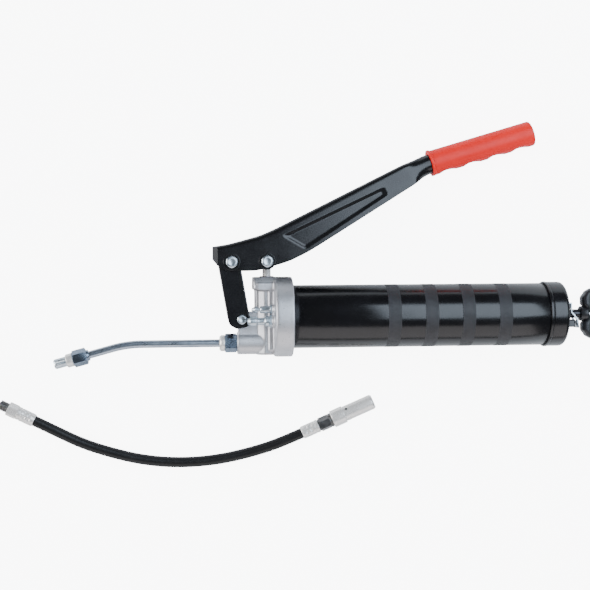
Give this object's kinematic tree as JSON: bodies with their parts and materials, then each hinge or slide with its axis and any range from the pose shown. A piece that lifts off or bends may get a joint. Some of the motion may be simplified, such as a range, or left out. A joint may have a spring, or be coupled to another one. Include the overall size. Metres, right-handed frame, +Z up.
{
  "type": "grease gun",
  "caption": "Lever-action grease gun lying on its side: black barrel with knurled bands, cast pump head, pressed lever with red grip, outlet pipe and coupler, and a separate extension hose.",
  "frame": {"origin": "on the ground, under the middle of the gun's bounding box, measured without the hose", "axes": "+X along the barrel from outlet to T-handle, +Y towards the hand lever, +Z up from the ground the gun lies on"},
  "size_m": [0.5573, 0.3214, 0.0726],
  "materials": {
    "cast_aluminium": "satin die casting",
    "gloss_black": "gloss paint",
    "satin_black": "satin paint",
    "red_grip": "soft sheen moulding",
    "black_plastic": "satin moulding",
    "zinc": "bright zinc plate",
    "pipe_zinc": "dull zinc plate",
    "coupler_steel": "bright plate",
    "ground_steel": "ground",
    "black_steel": "black oxide",
    "spring_steel": "oiled",
    "black_rubber": "matte"
  },
  "bodies": {
    "gun": {"head_casting": "cast_aluminium", "head_gasket": "black_rubber", "plunger_seal": "black_rubber", "plunger_gland": "ground_steel", "outlet_check_spring": "spring_steel", "filler_nipple": "zinc", "bleeder_body": "zinc", "outlet_nut": "zinc", "pipe_collar": "zinc", "delivery_pipe": "pipe_zinc", "pipe_coupler_socket": "coupler_steel", "pipe_coupler_sleeve": "coupler_steel", "pipe_coupler_jaws": "coupler_steel", "pipe_coupler_spring": "spring_steel", "barrel": "gloss_black", "rear_cap": "gloss_black", "follower_spring": "spring_steel"},
    "plunger": {"plunger": "ground_steel"},
    "lever": {"lever": "satin_black", "lever_grip": "red_grip", "lever_bolts": "zinc", "lever_nuts": "zinc", "eye_spacers": "ground_steel"},
    "link": {"link": "satin_black", "link_base_bolt": "zinc", "link_base_nut": "zinc"},
    "follower": {"follower_cup": "black_rubber", "follower_plate": "zinc"},
    "rod": {"follower_rod": "black_steel", "follower_nut": "zinc", "t_handle": "black_plastic", "handle_pin": "ground_steel"},
    "rod_lock": {"rod_lock_plate": "zinc"},
    "outlet_ball": {"outlet_check_ball": "ground_steel"},
    "filler_ball": {"filler_ball": "ground_steel"},
    "bleeder": {"bleeder_stem": "zinc"},
    "pipe_piston": {"pipe_coupler_piston": "black_rubber"},
    "hose": {"hose_tube": "black_rubber", "hose_ferrules": "coupler_steel", "hose_inlet_fitting": "coupler_steel", "hose_coupler_socket": "coupler_steel", "hose_coupler_sleeve": "coupler_steel", "hose_coupler_jaws": "coupler_steel", "hose_coupler_spring": "spring_steel"},
    "hose_piston": {"hose_coupler_piston": "black_rubber"}
  },
  "joints": [
    {"name": "plunger_slide", "type": "slide", "parent": "gun", "child": "plunger", "axis": [-0.003, 0.9937, -0.1124], "range_m": [0, 0.0216]},
    {"name": "lever_swing", "type": "hinge", "parent": "plunger", "child": "lever", "pos_m": [-0.05908, -0.0162, 0.03109], "axis": [0.0268, 0.1124, 0.9933], "range_deg": [0, 40]},
    {"name": "link_swing", "type": "hinge", "parent": "gun", "child": "link", "pos_m": [-0.08192, -0.06757, 0.03752], "axis": [0.0268, 0.1124, 0.9933], "range_deg": [-7.2, 0]},
    {"name": "follower_pull", "type": "slide", "parent": "gun", "child": "follower", "axis": [0.9996, 0, -0.0269], "range_m": [0, 0.183], "stiffness_N_per_m": 350, "springref_m": -0.03, "deforming": ["follower_spring"]},
    {"name": "rod_turn", "type": "hinge", "parent": "follower", "child": "rod", "pos_m": [0.11361, -0.06558, 0.03203], "axis": [0.9996, 0, -0.0269], "continuous": true},
    {"name": "rod_lock_tilt", "type": "hinge", "parent": "gun", "child": "rod_lock", "pos_m": [0.21364, -0.05664, 0.02832], "axis": [0.0268, 0.1124, 0.9933], "range_deg": [0, 6], "stiffness_Nm_per_rad": 0.02, "springref_deg": -11.46},
    {"name": "outlet_ball_lift", "type": "slide", "parent": "gun", "child": "outlet_ball", "axis": [-0.9996, 0, 0.0269], "range_m": [0, 0.0012], "stiffness_N_per_m": 250, "springref_m": -0.001, "deforming": ["outlet_check_spring"]},
    {"name": "filler_ball_press", "type": "slide", "parent": "gun", "child": "filler_ball", "axis": [0.9996, 0, -0.0269], "range_m": [0, 0.001], "stiffness_N_per_m": 200, "springref_m": -0.001},
    {"name": "bleeder_press", "type": "slide", "parent": "gun", "child": "bleeder", "axis": [0.9996, 0, -0.0269], "range_m": [0, 0.0015], "stiffness_N_per_m": 400, "springref_m": -0.001},
    {"name": "pipe_piston_press", "type": "slide", "parent": "gun", "child": "pipe_piston", "axis": [0.9648, 0.2572, -0.0551], "range_m": [0, 0.001], "stiffness_N_per_m": 500, "springref_m": -0.001, "deforming": ["pipe_coupler_spring"]},
    {"name": "hose_shift", "type": "slide", "parent": "gun", "child": "hose", "axis": [0, -1, 0], "range_m": [0, 0.15]},
    {"name": "hose_piston_press", "type": "slide", "parent": "hose", "child": "hose_piston", "axis": [-0.9145, -0.4046, 0], "range_m": [0, 0.001], "stiffness_N_per_m": 500, "springref_m": -0.001, "deforming": ["hose_coupler_spring"]}
  ],
  "couplings": [
    {"joint": "plunger_slide", "follows": "lever_swing", "m_per_rad": 0.0307},
    {"joint": "link_swing", "follows": "lever_swing", "ratio": -0.178}
  ]
}
